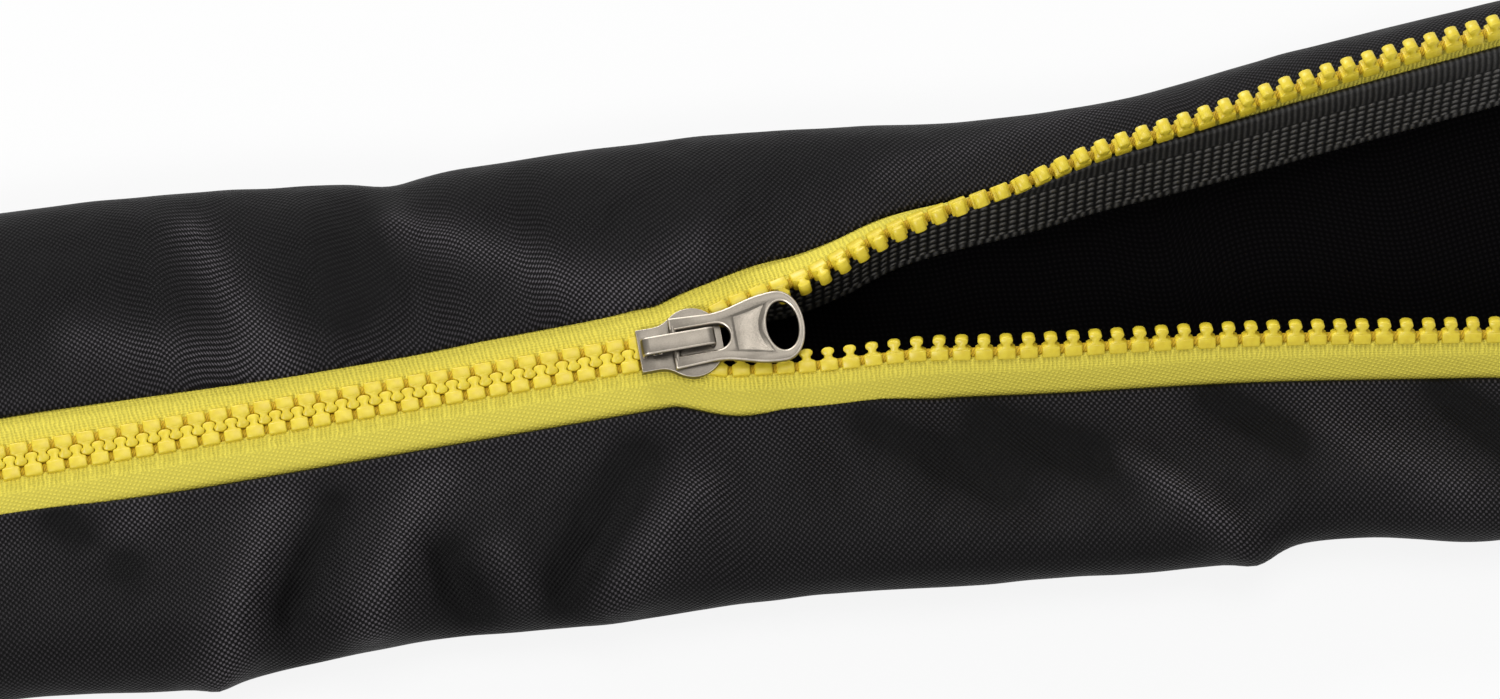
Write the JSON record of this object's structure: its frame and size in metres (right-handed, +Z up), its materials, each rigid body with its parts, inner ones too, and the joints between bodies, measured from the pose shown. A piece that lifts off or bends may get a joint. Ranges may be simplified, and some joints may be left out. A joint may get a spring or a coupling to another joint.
{
  "type": "zipped cord connection cover",
  "caption": "Flat woven fabric sleeve with a moulded-tooth zip along its top, shown partly open, for covering a cord connection.",
  "frame": {"origin": "on the flat underside of the sleeve, midway along its length, below the zip", "axes": "+X along the sleeve towards its open end, +Y from the front to the back, +Z up from the surface it lies on"},
  "size_m": [0.3, 0.1045, 0.0347],
  "materials": {
    "black_cloth": "coated satin weave",
    "black_webbing": "matt woven",
    "yellow_tape": "matt woven",
    "yellow_plastic": "moulded satin",
    "zinc": "satin nickel plate"
  },
  "bodies": {
    "sleeve": {"fabric_sleeve": "black_cloth", "webbing_strip": "black_webbing", "back_zip_tape": "yellow_tape", "front_zip_tape": "yellow_tape", "back_teeth": "yellow_plastic", "front_teeth": "yellow_plastic", "bottom_stop": "yellow_plastic", "back_top_stop": "yellow_plastic", "front_top_stop": "yellow_plastic"},
    "slider": {"slider_body": "zinc", "slider_cap": "zinc", "lock_spring": "zinc"},
    "pull": {"pull_tab": "zinc"}
  },
  "joints": [
    {"name": "slider_run", "type": "slide", "parent": "sleeve", "child": "slider", "axis": [-1, 0, 0], "range_m": [0, 0.118], "deforming": ["back_teeth", "front_teeth"]},
    {"name": "pull_hinge", "type": "hinge", "parent": "slider", "child": "pull", "pos_m": [-0.01295, -0.00172, 0.02937], "axis": [0, -0.9781, -0.2079], "range_deg": [0, 175]}
  ]
}
